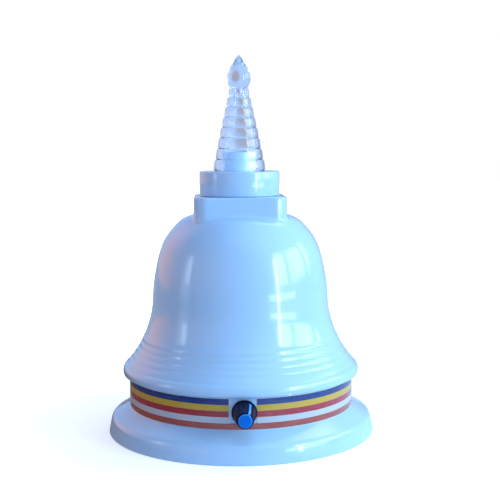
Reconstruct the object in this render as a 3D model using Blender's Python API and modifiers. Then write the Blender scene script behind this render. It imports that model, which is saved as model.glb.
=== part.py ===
"""Illuminated table-top stupa: a plastic bell on a low drum, with blocks, a clear ringed spire
and a control knob on the front.

Units are metres and +Z is up. The front, with the knob, faces -Y. The origin is the centre of
the flat base, on the surface that the model stands on. Each piece is one closed solid.
"""

import math

import bmesh
import bpy
from mathutils import Matrix, Vector

# Clearance left between two pieces that seat on each other
SEAT_GAP = 0.0003

# Facets round the large shells, the slim turned pieces and the small fittings
SHELL_FACETS = 48
SPIRE_FACETS = 24
FITTING_FACETS = 16

# Steps between two knots of a curve, points round the lip, and facets round a block's corner and
# its eased top edge
CURVE_STEPS = 2
LIP_POINTS = 6
CORNER_FACETS = 5
EDGE_FACETS = 2

# Distance within which two points are the same point
SAME_POINT = 0.000001

# Foot and drum, one moulding
FOOT_RADIUS = 0.0850
RIM_TOP_RADIUS = 0.0829
RIM_HEIGHT = 0.0106
DRUM_RADIUS = 0.0712
DRUM_BASE_HEIGHT = 0.0172
DRUM_TOP_HEIGHT = 0.0388
LEDGE_INNER_RADIUS = 0.0600
MOULDED_WALL = 0.0025
EDGE_ROUND = 0.0004
RIM_ROUND = 0.0026

# Ring on top of the drum that centres the bell
DRUM_RING_INNER = 0.0664
DRUM_RING_OUTER = 0.0688
DRUM_RING_HEIGHT = 0.0030

# Bottom plate, set flush into the foot, with its screws and their posts
PLATE_THICKNESS = 0.0024
PLATE_SEAT_WIDTH = 0.0015
FOOT_INNER_RADIUS = 0.0824
SCREW_COUNT = 4
SCREW_CIRCLE_RADIUS = 0.0645
POST_RADIUS = 0.0036
POST_HOLE_RADIUS = 0.0016
POST_HOLE_TOP = 0.0145
SCREW_HEAD_RADIUS = 0.0028
SCREW_HEAD_DEPTH = 0.0016
SCREW_HEAD_SINK = 0.0002
SCREW_SHANK_RADIUS = 0.0013
SCREW_TOP = 0.0120

# Cord inlet at the back of the foot
INLET_HEIGHT = 0.0062
INLET_CORD_RADIUS = 0.0015
INLET_NECK_RADIUS = 0.0024
INLET_FLANGE_RADIUS = 0.0036
INLET_FLANGE_THICKNESS = 0.0011
INLET_NECK_LENGTH = 0.0039

# Bell: (radius, height) down its outer side, from the shoulder to the lip
BELL_CURVE = (
    (0.0295, 0.1380),
    (0.0362, 0.1354),
    (0.0412, 0.1312),
    (0.0470, 0.1239),
    (0.0507, 0.1160),
    (0.0536, 0.1046),
    (0.0555, 0.0930),
    (0.0564, 0.0805),
    (0.0579, 0.0725),
    (0.0613, 0.0622),
    (0.0650, 0.0545),
    (0.0702, 0.0470),
    (0.0728, 0.0440),
)
BELL_TOP_HEIGHT = BELL_CURVE[0][1]
BELL_OPENING_RADIUS = 0.0200
BELL_RING_INNER = 0.0236
BELL_RING_OUTER = 0.0260
BELL_RING_HEIGHT = 0.0030

# Five moulded rings round the flare of the bell
RING_COUNT = 5
RINGS_TOP_HEIGHT = 0.0620
RINGS_BOTTOM_HEIGHT = 0.0442
RING_BULGE = 0.0003

# Thick rounded lip of the bell, which hangs over the top of the drum
LIP_CENTRE = (0.0716, 0.0394)
LIP_RADII = (0.0039, 0.0047)
LIP_START_DEG = 68.0
LIP_END_DEG = -24.0
LIP_INNER_RADIUS = 0.0721
BELL_SEAT_RADIUS = 0.0692
BELL_SEAT_DEPTH = 0.0039

# Square block with rounded upright corners
SQUARE_HALF_WIDTH = 0.0289
SQUARE_CORNER_RADIUS = 0.0086
SQUARE_TOP_HEIGHT = 0.1496
SQUARE_LOWEST_HEIGHT = 0.1330
SQUARE_WALL = 0.0024
SQUARE_EDGE_ROUND = 0.0006
SQUARE_OPENING_RADIUS = 0.0200
SQUARE_RING_OUTER = 0.0227
SQUARE_RING_HEIGHT = 0.0028

# Round block, with the stub that the spire fits over
ROUND_RADIUS = 0.0253
ROUND_TOP_HEIGHT = 0.1651
ROUND_WALL = 0.0022
ROUND_EDGE_ROUND = 0.0006
STUB_RADIUS = 0.0106
STUB_TOP_HEIGHT = 0.1772

# Clear spire of rounded rings, hollow and open at both ends
SPIRE_RING_COUNT = 8
SPIRE_BASE_RADIUS = 0.0164
SPIRE_TOP_RING_RADIUS = 0.0067
SPIRE_LOWEST_RING_HEIGHT = 0.0070
SPIRE_RING_HEIGHT_STEP = 0.00015
SPIRE_GROOVE_DEPTH = 0.0008

# A ring's side from its top down: (share of its height, share of the groove's depth it lies inside)
SPIRE_RING_SIDE = ((0.93, 1.08), (0.70, 0.58), (0.30, 0.26), (0.08, 0.36))
SPIRE_NECK_RADIUS = 0.0051
SPIRE_BORE_BASE_RADIUS = 0.0136
SPIRE_BORE_TOP_RADIUS = 0.0038
SPIRE_SOCKET_RADIUS = 0.0029
SPIRE_SOCKET_DEPTH = 0.0040

# Clear drop on the spire: (radius, height) down its outer side, its flat seat and its peg
FINIAL_CURVE = (
    (0.0000, 0.2381),
    (0.0016, 0.2362),
    (0.0036, 0.2328),
    (0.0060, 0.2290),
    (0.0072, 0.2250),
    (0.0072, 0.2220),
    (0.0063, 0.2190),
)
FINIAL_SEAT_RADIUS = 0.0052
FINIAL_PEG_RADIUS = 0.0026
FINIAL_PEG_LENGTH = 0.0036

# Flag tape: five strips round the drum, cut away round the knob and meeting at the back
TAPE_TOP_HEIGHT = 0.0355
TAPE_STRIP_PITCH = 0.0036
TAPE_THICKNESS = 0.00025
TAPE_LEFT_OF_KNOB = 0.0090
TAPE_RIGHT_OF_KNOB = 0.0075
TAPE_BACK_SEAM = 0.0006

# Control: distances along its axis are measured outward from the face of the drum
KNOB_HEIGHT = 0.0279
BUSH_RADIUS = 0.0040
BUSH_BORE_RADIUS = 0.0033
BUSH_END = 0.0042
CAN_RADIUS = 0.0080
CAN_FRONT = -0.0033
CAN_BACK = -0.0103
SHAFT_RADIUS = 0.0030
SHAFT_INNER_END = -0.0085
SHAFT_OUTER_END = 0.0140
WASHER_RADIUS = 0.0057
WASHER_START = 0.0003
WASHER_END = 0.0009
NUT_SIDES = 6
NUT_ACROSS_FLATS = 0.0100
NUT_START = 0.0012
NUT_END = 0.0032

# Knob: a fluted, tapered grip with a chamfered face, a cap let into it and a pointer
KNOB_BACK = 0.0015
KNOB_SKIRT_RADIUS = 0.0075
KNOB_SKIRT_END = 0.0027
KNOB_GRIP_BACK_RADIUS = 0.0072
KNOB_GRIP_FRONT_RADIUS = 0.0052
KNOB_GRIP_FRONT = 0.0184
KNOB_FACE_RADIUS = 0.0046
KNOB_FACE = 0.0200
KNOB_FLUTES = 20
KNOB_FACETS_A_FLUTE = 3
KNOB_FLUTE_DEPTH = 0.0003
KNOB_RECESS_RADIUS = 0.0066
KNOB_RECESS_END = 0.0055
KNOB_BORE_RADIUS = 0.0033
KNOB_BORE_END = 0.0143
CAP_RADIUS = 0.0040
CAP_SEAT = 0.0189
CAP_TOP = 0.0206
POINTER_ANGLE_DEG = 28.0
POINTER_START_RADIUS = 0.0034
POINTER_WIDTH = 0.0013
POINTER_END = 0.0065
POINTER_RISE = 0.0007


def clear_scene():
    for old in list(bpy.data.objects):
        bpy.data.objects.remove(old, do_unlink=True)


def new_collection(name, hidden=False):
    collection = bpy.data.collections.new(name)
    bpy.context.scene.collection.children.link(collection)
    collection.hide_render = hidden
    return collection


def new_material(name, colour, roughness, metallic=0.0, alpha=1.0):
    material = bpy.data.materials.new(name)
    material.use_nodes = True
    shader = material.node_tree.nodes["Principled BSDF"]
    shader.inputs["Base Color"].default_value = (*colour, 1.0)
    shader.inputs["Roughness"].default_value = roughness
    shader.inputs["Metallic"].default_value = metallic
    shader.inputs["Alpha"].default_value = alpha
    material.diffuse_color = (*colour, alpha)
    return material


clear_scene()
PARTS = new_collection("stupa")
CUTTERS = new_collection("stupa_cutters", hidden=True)

WHITE_PLASTIC = new_material("white_plastic", (0.47, 0.68, 0.93), 0.25)
PLATE_PLASTIC = new_material("plate_plastic", (0.43, 0.62, 0.87), 0.5)
CLEAR_PLASTIC = new_material("clear_plastic", (0.80, 0.90, 1.0), 0.06, alpha=0.4)
BLACK_PLASTIC = new_material("black_plastic", (0.003, 0.01, 0.032), 0.35)
BLUE_PLASTIC = new_material("blue_plastic", (0.001, 0.14, 0.61), 0.35)
BLACK_RUBBER = new_material("black_rubber", (0.03, 0.03, 0.035), 0.7)
ZINC_STEEL = new_material("zinc_steel", (0.56, 0.56, 0.58), 0.35, metallic=1.0)
TAPE_COLOURS = {
    "blue": (0.013, 0.05, 0.30),
    "yellow": (0.65, 0.44, 0.06),
    "red": (0.43, 0.04, 0.08),
    "white": (0.63, 0.69, 0.81),
    "orange": (0.49, 0.10, 0.075),
}


def arc(centre, radii, start_deg, end_deg, count):
    """Points along part of an ellipse, from one angle to the other, both ends included."""
    points = []
    for index in range(count):
        angle = math.radians(start_deg + (end_deg - start_deg) * index / (count - 1))
        points.append((centre[0] + radii[0] * math.cos(angle), centre[1] + radii[1] * math.sin(angle)))
    return points


def smooth_curve(knots, steps):
    """A Catmull-Rom curve through all the knots, with the given steps between each two."""
    knots = [Vector(knot) for knot in knots]
    ends = [2 * knots[0] - knots[1], *knots, 2 * knots[-1] - knots[-2]]
    points = []
    for before, start, end, after in zip(ends, ends[1:], ends[2:], ends[3:]):
        for step in range(steps):
            t = step / steps
            bend = 2 * before - 5 * start + 4 * end - after
            twist = 3 * start - before - 3 * end + after
            point = start + 0.5 * (t * (end - before) + t * t * bend + t * t * t * twist)
            points.append((point.x, point.y))
    points.append((knots[-1].x, knots[-1].y))
    return points


def inset_curve(points, distance):
    """The curve moved square to itself, towards the axis."""
    moved = []
    for index, (radius, height) in enumerate(points):
        before = points[max(index - 1, 0)]
        after = points[min(index + 1, len(points) - 1)]
        along = Vector((after[0] - before[0], after[1] - before[1])).normalized()
        moved.append((radius + along.y * distance, height - along.x * distance))
    return moved


def eased(corners):
    """A closed outline from (radius, height, ease) corners, each rounded by its ease, 0 for none."""
    points = []
    for index, (radius, height, ease) in enumerate(corners):
        corner = Vector((radius, height))
        if not ease:
            points.append((radius, height))
            continue
        before = Vector(corners[index - 1][:2])
        after = Vector(corners[(index + 1) % len(corners)][:2])
        start = corner + (before - corner).normalized() * ease
        end = corner + (after - corner).normalized() * ease
        points += [tuple(start), tuple((start + 2 * corner + end) / 4), tuple(end)]
    return points


def radius_at(points, height):
    """The radius of a falling curve at one height."""
    for (upper_radius, upper), (lower_radius, lower) in zip(points, points[1:]):
        if upper >= height >= lower:
            share = (upper - height) / (upper - lower)
            return upper_radius + (lower_radius - upper_radius) * share
    raise ValueError("height is off the curve")


def add_object(name, mesh, material, parent=None, matrix=None):
    part = bpy.data.objects.new(name, mesh)
    collection = CUTTERS if material is None else PARTS
    collection.objects.link(part)
    if material is None:
        part.hide_render = True
        part.display_type = "WIRE"
    else:
        mesh.materials.append(material)
    part.parent = parent
    if matrix is not None:
        part.matrix_basis = matrix
    return part


def turned(name, outline, facets, material, ring=False, parent=None, matrix=None):
    """A shape turned about Z, from a (radius, height) outline that runs down its outer side.

    A ring's outline is a closed loop clear of the axis. Any other starts and ends on the axis.
    """
    mesh = bpy.data.meshes.new(name)
    edges = [(index, index + 1) for index in range(len(outline) - 1)]
    if ring:
        edges.append((len(outline) - 1, 0))
    mesh.from_pydata([(radius, 0, height) for radius, height in outline], edges, [])
    part = add_object(name, mesh, material, parent, matrix)
    screw = part.modifiers.new("turn", "SCREW")
    screw.steps = facets
    screw.render_steps = facets
    screw.use_merge_vertices = True
    screw.merge_threshold = 0.00001
    screw.use_smooth_shade = True
    return part


def cylinder_cutter(name, radius, low, high, parent=None, matrix=None):
    outline = [(0, high), (radius, high), (radius, low), (0, low)]
    return turned(name, outline, FITTING_FACETS, None, parent=parent, matrix=matrix)


def rounded_box(name, half_width, corner_radius, low, high, material, edge_round=0.0):
    """An upright square block with rounded corners and, if asked, an eased top edge."""
    bm = bmesh.new()
    bmesh.ops.create_cube(bm, size=1.0)
    bmesh.ops.scale(bm, vec=(2 * half_width, 2 * half_width, high - low), verts=bm.verts)
    bmesh.ops.translate(bm, vec=(0, 0, (high + low) / 2), verts=bm.verts)
    upright = [edge for edge in bm.edges if abs(edge.verts[0].co.z - edge.verts[1].co.z) > corner_radius]
    rounding = {"profile": 0.5, "affect": "EDGES", "material": -1}
    bmesh.ops.bevel(bm, geom=upright, offset=corner_radius, segments=CORNER_FACETS, **rounding)
    if edge_round:
        top = [edge for edge in bm.edges if min(vert.co.z for vert in edge.verts) > high - SAME_POINT]
        bmesh.ops.bevel(bm, geom=top, offset=edge_round, segments=EDGE_FACETS, **rounding)
    mesh = bpy.data.meshes.new(name)
    bm.to_mesh(mesh)
    bm.free()
    return add_object(name, mesh, material)


def combine(part, other, operation):
    modifier = part.modifiers.new(other.name, "BOOLEAN")
    modifier.operation = operation
    modifier.object = other


def as_mesh(part):
    """The part's evaluated shape as a plain mesh, with no seam left open."""
    bpy.context.view_layer.update()
    graph = bpy.context.evaluated_depsgraph_get()
    mesh = bpy.data.meshes.new_from_object(part.evaluated_get(graph))
    bm = bmesh.new()
    bm.from_mesh(mesh)
    bmesh.ops.remove_doubles(bm, verts=bm.verts, dist=SAME_POINT)
    bm.to_mesh(mesh)
    bm.free()
    return mesh


def knob_frame():
    """An empty on the control's axis at the face of the drum, whose Z points out of the front."""
    empty = bpy.data.objects.new("knob_axis", None)
    PARTS.objects.link(empty)
    empty.location = (0, -DRUM_RADIUS, KNOB_HEIGHT)
    empty.rotation_euler = (math.radians(90), 0, 0)
    empty.empty_display_size = 0.01
    return empty


def screw_places():
    for index in range(SCREW_COUNT):
        angle = math.radians(360 / SCREW_COUNT * (index + 0.5))
        spot = Vector((SCREW_CIRCLE_RADIUS * math.cos(angle), SCREW_CIRCLE_RADIUS * math.sin(angle), 0))
        yield index + 1, Matrix.Translation(spot)


def inlet_matrix():
    """The frame of the cord inlet: its Z is square to the leaning rim, out of the back."""
    lean = math.atan2(FOOT_RADIUS - RIM_TOP_RADIUS, RIM_HEIGHT)
    rim_radius = FOOT_RADIUS - INLET_HEIGHT * math.tan(lean)
    place = Matrix.Translation((0, rim_radius, INLET_HEIGHT))
    return place @ Matrix.Rotation(lean - math.radians(90), 4, "X")


def make_base_shell(axis):
    """Foot, drum wall and ledge in one moulding, with a centring ring and four screw posts."""
    ledge_under = DRUM_TOP_HEIGHT - MOULDED_WALL
    wall_inner = DRUM_RADIUS - MOULDED_WALL
    seat_height = PLATE_THICKNESS + SEAT_GAP
    seat_inner = FOOT_INNER_RADIUS - PLATE_SEAT_WIDTH
    ring_top = DRUM_TOP_HEIGHT + DRUM_RING_HEIGHT
    corners = [
        (LEDGE_INNER_RADIUS, DRUM_TOP_HEIGHT, 0),
        (DRUM_RING_INNER, DRUM_TOP_HEIGHT, 0),
        (DRUM_RING_INNER, ring_top, 0),
        (DRUM_RING_OUTER, ring_top, 0),
        (DRUM_RING_OUTER, DRUM_TOP_HEIGHT, 0),
        (DRUM_RADIUS, DRUM_TOP_HEIGHT, EDGE_ROUND),
        (DRUM_RADIUS, DRUM_BASE_HEIGHT, EDGE_ROUND),
        (RIM_TOP_RADIUS, RIM_HEIGHT, RIM_ROUND),
        (FOOT_RADIUS, 0, EDGE_ROUND),
        (FOOT_INNER_RADIUS, 0, 0),
        (FOOT_INNER_RADIUS, seat_height, 0),
        (seat_inner, seat_height, 0),
        (RIM_TOP_RADIUS - MOULDED_WALL, RIM_HEIGHT - MOULDED_WALL, 0),
        (wall_inner, DRUM_BASE_HEIGHT - MOULDED_WALL / 2, 0),
        (wall_inner, ledge_under, 0),
        (LEDGE_INNER_RADIUS, ledge_under, 0),
    ]
    shell = turned("base_shell", eased(corners), SHELL_FACETS, WHITE_PLASTIC, ring=True)
    post_top = DRUM_TOP_HEIGHT - MOULDED_WALL / 2
    for number, place in screw_places():
        post = cylinder_cutter(f"post_{number}", POST_RADIUS, seat_height, post_top, matrix=place)
        hole = cylinder_cutter(f"post_hole_{number}", POST_HOLE_RADIUS, 0, POST_HOLE_TOP, matrix=place)
        combine(shell, post, "UNION")
        combine(shell, hole, "DIFFERENCE")
    through_wall = 2 * MOULDED_WALL
    bush_hole = cylinder_cutter(
        "bush_hole", BUSH_RADIUS + SEAT_GAP, -through_wall, through_wall, parent=axis
    )
    combine(shell, bush_hole, "DIFFERENCE")
    cord_hole = cylinder_cutter(
        "cord_hole",
        INLET_NECK_RADIUS + SEAT_GAP,
        -INLET_NECK_LENGTH - INLET_NECK_RADIUS,
        INLET_NECK_LENGTH,
        matrix=inlet_matrix(),
    )
    combine(shell, cord_hole, "DIFFERENCE")


def make_base_plate():
    """Flat bottom plate with four countersunk holes."""
    radius = FOOT_INNER_RADIUS - SEAT_GAP
    outline = [(0, PLATE_THICKNESS), (radius, PLATE_THICKNESS), (radius, 0), (0, 0)]
    plate = turned("base_plate", outline, SHELL_FACETS, PLATE_PLASTIC)
    sink_radius = SCREW_HEAD_RADIUS + SEAT_GAP
    hole_radius = SCREW_SHANK_RADIUS + SEAT_GAP
    sink_depth = SCREW_HEAD_SINK + SCREW_HEAD_DEPTH
    hole_outline = [
        (0, 2 * PLATE_THICKNESS),
        (hole_radius, 2 * PLATE_THICKNESS),
        (hole_radius, sink_depth + SEAT_GAP),
        (sink_radius, SCREW_HEAD_SINK + SEAT_GAP),
        (sink_radius, -PLATE_THICKNESS),
        (0, -PLATE_THICKNESS),
    ]
    for number, place in screw_places():
        hole = turned(f"plate_hole_{number}", hole_outline, FITTING_FACETS, None, matrix=place)
        combine(plate, hole, "DIFFERENCE")


def make_base_screws():
    """Countersunk screws up through the plate into the posts, their heads just below flush."""
    outline = [
        (0, SCREW_TOP),
        (SCREW_SHANK_RADIUS, SCREW_TOP),
        (SCREW_SHANK_RADIUS, SCREW_HEAD_SINK + SCREW_HEAD_DEPTH),
        (SCREW_HEAD_RADIUS, SCREW_HEAD_SINK + SEAT_GAP),
        (SCREW_HEAD_RADIUS, SCREW_HEAD_SINK),
        (0, SCREW_HEAD_SINK),
    ]
    for number, place in screw_places():
        turned(f"base_screw_{number}", outline, FITTING_FACETS // 2, ZINC_STEEL, matrix=place)


def make_cord_inlet():
    """Rubber bush in the rim at the back, where the mains lead would come in."""
    corners = [
        (INLET_CORD_RADIUS, SEAT_GAP + INLET_FLANGE_THICKNESS, 0),
        (INLET_FLANGE_RADIUS, SEAT_GAP + INLET_FLANGE_THICKNESS, EDGE_ROUND),
        (INLET_FLANGE_RADIUS, SEAT_GAP, 0),
        (INLET_NECK_RADIUS, SEAT_GAP, 0),
        (INLET_NECK_RADIUS, -INLET_NECK_LENGTH, 0),
        (INLET_CORD_RADIUS, -INLET_NECK_LENGTH, 0),
    ]
    place = inlet_matrix()
    turned("cord_inlet", eased(corners), FITTING_FACETS, BLACK_RUBBER, ring=True, matrix=place)


def bell_ring_points(curve):
    """The moulded rings: equal bands down the flare, each swelling out between two grooves."""
    thirds = 3
    pitch = (RINGS_TOP_HEIGHT - RINGS_BOTTOM_HEIGHT) / RING_COUNT
    points = []
    for index in range(RING_COUNT * thirds + 1):
        height = RINGS_TOP_HEIGHT - pitch * index / thirds
        swell = RING_BULGE * math.sin(math.pi * (index % thirds) / thirds)
        points.append((radius_at(curve, height) + swell, height))
    return points


def make_bell():
    """The dome: shoulder, bell side, ringed flare and thick lip, open at top and bottom."""
    curve = smooth_curve(BELL_CURVE, CURVE_STEPS)
    plain = [point for point in curve if point[1] > RINGS_TOP_HEIGHT + RING_BULGE]
    ring_top = BELL_TOP_HEIGHT + BELL_RING_HEIGHT
    lip = arc(LIP_CENTRE, LIP_RADII, LIP_START_DEG, LIP_END_DEG, LIP_POINTS)
    lip_bottom = lip[-1][1]
    seat_height = DRUM_TOP_HEIGHT + SEAT_GAP
    inner_curve = inset_curve(BELL_CURVE, MOULDED_WALL)
    inside = inner_curve[-2:0:-2]
    outline = [
        (BELL_OPENING_RADIUS, BELL_TOP_HEIGHT),
        (BELL_RING_INNER, BELL_TOP_HEIGHT),
        (BELL_RING_INNER, ring_top),
        (BELL_RING_OUTER, ring_top),
        (BELL_RING_OUTER, BELL_TOP_HEIGHT),
        *plain,
        *bell_ring_points(curve),
        *lip,
        (LIP_INNER_RADIUS, lip_bottom),
        (LIP_INNER_RADIUS, seat_height),
        (BELL_SEAT_RADIUS, seat_height),
        (BELL_SEAT_RADIUS, seat_height + BELL_SEAT_DEPTH),
        *inside,
        (BELL_OPENING_RADIUS, BELL_TOP_HEIGHT - MOULDED_WALL),
    ]
    turned("bell_dome", outline, SHELL_FACETS, WHITE_PLASTIC, ring=True)


def make_square_block():
    """Open-bottomed square block, scribed to the shoulder of the bell, with a ring on its top."""
    block = rounded_box(
        "square_block",
        SQUARE_HALF_WIDTH,
        SQUARE_CORNER_RADIUS,
        SQUARE_LOWEST_HEIGHT,
        SQUARE_TOP_HEIGHT,
        WHITE_PLASTIC,
        edge_round=SQUARE_EDGE_ROUND,
    )
    ceiling = SQUARE_TOP_HEIGHT - SQUARE_WALL
    hollow = rounded_box(
        "square_hollow",
        SQUARE_HALF_WIDTH - SQUARE_WALL,
        SQUARE_CORNER_RADIUS - SQUARE_WALL,
        SQUARE_LOWEST_HEIGHT - SQUARE_WALL,
        ceiling,
        None,
    )
    combine(block, hollow, "DIFFERENCE")
    corner_reach = math.sqrt(2) * SQUARE_HALF_WIDTH
    shoulder = [point for point in smooth_curve(BELL_CURVE, CURVE_STEPS) if point[0] < corner_reach]
    lowest = shoulder[-1][1] - SQUARE_WALL
    seat_outline = [
        (0, BELL_TOP_HEIGHT + SEAT_GAP),
        *[(radius, height + SEAT_GAP) for radius, height in shoulder],
        (shoulder[-1][0], lowest),
        (0, lowest),
    ]
    combine(block, turned("square_seat", seat_outline, SHELL_FACETS, None), "DIFFERENCE")
    ring_outline = [
        (SQUARE_OPENING_RADIUS, SQUARE_TOP_HEIGHT + SQUARE_RING_HEIGHT),
        (SQUARE_RING_OUTER, SQUARE_TOP_HEIGHT + SQUARE_RING_HEIGHT),
        (SQUARE_RING_OUTER, ceiling + SQUARE_WALL / 2),
        (SQUARE_OPENING_RADIUS, ceiling + SQUARE_WALL / 2),
    ]
    combine(block, turned("square_ring", ring_outline, SHELL_FACETS, None, ring=True), "UNION")
    opening_outline = [
        (0, SQUARE_TOP_HEIGHT + 2 * SQUARE_RING_HEIGHT),
        (SQUARE_OPENING_RADIUS, SQUARE_TOP_HEIGHT + 2 * SQUARE_RING_HEIGHT),
        (SQUARE_OPENING_RADIUS, ceiling - SQUARE_WALL),
        (0, ceiling - SQUARE_WALL),
    ]
    combine(block, turned("square_opening", opening_outline, SHELL_FACETS, None), "DIFFERENCE")


def make_round_block():
    """Round block with a flat top and the hollow stub that carries the spire."""
    bottom = SQUARE_TOP_HEIGHT + SEAT_GAP
    bore = SQUARE_RING_OUTER + SEAT_GAP
    ceiling = ROUND_TOP_HEIGHT - ROUND_WALL
    outline = [
        (0, STUB_TOP_HEIGHT),
        (STUB_RADIUS - EDGE_ROUND, STUB_TOP_HEIGHT),
        (STUB_RADIUS, STUB_TOP_HEIGHT - EDGE_ROUND),
        (STUB_RADIUS, ROUND_TOP_HEIGHT),
        (ROUND_RADIUS - ROUND_EDGE_ROUND, ROUND_TOP_HEIGHT),
        (ROUND_RADIUS, ROUND_TOP_HEIGHT - ROUND_EDGE_ROUND),
        (ROUND_RADIUS, bottom),
        (bore, bottom),
        (bore, ceiling),
        (STUB_RADIUS - ROUND_WALL, ceiling),
        (STUB_RADIUS - ROUND_WALL, STUB_TOP_HEIGHT - ROUND_WALL),
        (0, STUB_TOP_HEIGHT - ROUND_WALL),
    ]
    turned("round_block", outline, SHELL_FACETS, WHITE_PLASTIC)


def spire_rings():
    """(top height, bottom height, radius) of each ring, from the top one down."""
    rings = []
    bottom = ROUND_TOP_HEIGHT + SEAT_GAP
    for index in range(SPIRE_RING_COUNT):
        top = bottom + SPIRE_LOWEST_RING_HEIGHT - SPIRE_RING_HEIGHT_STEP * index
        share = index / (SPIRE_RING_COUNT - 1)
        radius = SPIRE_BASE_RADIUS + (SPIRE_TOP_RING_RADIUS - SPIRE_BASE_RADIUS) * share
        rings.insert(0, (top, bottom, radius))
        bottom = top
    return rings


def make_spire():
    """Hollow clear spire: rings that swell towards their lower edge, over a plain tapered bore."""
    rings = spire_rings()
    spire_top = rings[0][0]
    bottom = rings[-1][1]
    outline = [(SPIRE_NECK_RADIUS, spire_top)]
    for top, low, radius in rings:
        for rise, inside in SPIRE_RING_SIDE:
            outline.append((radius - inside * SPIRE_GROOVE_DEPTH, low + rise * (top - low)))
        if low > bottom:
            outline.append((radius - SPIRE_GROOVE_DEPTH, low))
    outline += [
        (SPIRE_BASE_RADIUS - EDGE_ROUND, bottom),
        (SPIRE_BORE_BASE_RADIUS, bottom),
        (SPIRE_BORE_TOP_RADIUS, spire_top - SPIRE_SOCKET_DEPTH - EDGE_ROUND),
        (SPIRE_SOCKET_RADIUS, spire_top - SPIRE_SOCKET_DEPTH),
        (SPIRE_SOCKET_RADIUS, spire_top),
    ]
    turned("ringed_spire", outline, SPIRE_FACETS, CLEAR_PLASTIC, ring=True)


def make_finial():
    """Solid clear drop that stands on the top of the spire, with its peg in the socket."""
    spire_top = spire_rings()[0][0]
    seat = spire_top + SEAT_GAP
    outline = [
        *smooth_curve([*FINIAL_CURVE, (FINIAL_SEAT_RADIUS, seat)], CURVE_STEPS),
        (FINIAL_PEG_RADIUS, seat),
        (FINIAL_PEG_RADIUS, seat - FINIAL_PEG_LENGTH),
        (0, seat - FINIAL_PEG_LENGTH),
    ]
    turned("drop_finial", outline, SPIRE_FACETS, CLEAR_PLASTIC)


def make_tape():
    """Five strips round the drum: the last runs on below the knob, the rest stop beside it."""
    inner = DRUM_RADIUS + SEAT_GAP
    left = math.asin(TAPE_LEFT_OF_KNOB / inner)
    right = math.asin(TAPE_RIGHT_OF_KNOB / inner)
    front = math.radians(-90)
    for index, (colour_name, colour) in enumerate(TAPE_COLOURS.items()):
        whole = index == len(TAPE_COLOURS) - 1
        start = front + math.pi if whole else front + right
        gap = TAPE_BACK_SEAM / inner if whole else left + right
        high = TAPE_TOP_HEIGHT - TAPE_STRIP_PITCH * index
        low = high - TAPE_STRIP_PITCH + SEAT_GAP
        name = f"tape_{colour_name}"
        mesh = bpy.data.meshes.new(name)
        mesh.from_pydata([(inner, 0, high), (inner, 0, low)], [(0, 1)], [])
        material = new_material(name, colour, 0.3)
        strip = add_object(name, mesh, material, matrix=Matrix.Rotation(start, 4, "Z"))
        screw = strip.modifiers.new("turn", "SCREW")
        screw.angle = 2 * math.pi - gap
        screw.steps = SHELL_FACETS
        screw.render_steps = SHELL_FACETS
        screw.use_merge_vertices = False
        solidify = strip.modifiers.new("thickness", "SOLIDIFY")
        solidify.thickness = TAPE_THICKNESS
        solidify.offset = 1


def make_control(axis):
    """What the knob turns on: the can behind the drum wall, its bush, washer, nut and shaft."""
    body_outline = [
        (0, SHAFT_INNER_END - SEAT_GAP),
        (BUSH_BORE_RADIUS, SHAFT_INNER_END - SEAT_GAP),
        (BUSH_BORE_RADIUS, BUSH_END),
        (BUSH_RADIUS, BUSH_END),
        (BUSH_RADIUS, CAN_FRONT),
        (CAN_RADIUS, CAN_FRONT),
        (CAN_RADIUS, CAN_BACK),
        (0, CAN_BACK),
    ]
    turned("control_body", body_outline, FITTING_FACETS, ZINC_STEEL, parent=axis)
    washer_outline = [
        (BUSH_RADIUS + SEAT_GAP, WASHER_END),
        (WASHER_RADIUS, WASHER_END),
        (WASHER_RADIUS, WASHER_START),
        (BUSH_RADIUS + SEAT_GAP, WASHER_START),
    ]
    turned("control_washer", washer_outline, FITTING_FACETS, ZINC_STEEL, ring=True, parent=axis)
    nut_corner_radius = NUT_ACROSS_FLATS / 2 / math.cos(math.pi / NUT_SIDES)
    nut_outline = [(0, NUT_END), (nut_corner_radius, NUT_END), (nut_corner_radius, NUT_START), (0, NUT_START)]
    nut = turned("control_nut", nut_outline, NUT_SIDES, ZINC_STEEL, parent=axis)
    nut_hole = cylinder_cutter(
        "nut_hole", BUSH_RADIUS + SEAT_GAP, NUT_START - NUT_END, 2 * NUT_END, parent=axis
    )
    combine(nut, nut_hole, "DIFFERENCE")
    shaft_outline = [
        (0, SHAFT_OUTER_END),
        (SHAFT_RADIUS - EDGE_ROUND, SHAFT_OUTER_END),
        (SHAFT_RADIUS, SHAFT_OUTER_END - EDGE_ROUND),
        (SHAFT_RADIUS, SHAFT_INNER_END),
        (0, SHAFT_INNER_END),
    ]
    turned("control_shaft", shaft_outline, FITTING_FACETS, ZINC_STEEL, parent=axis)


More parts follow.
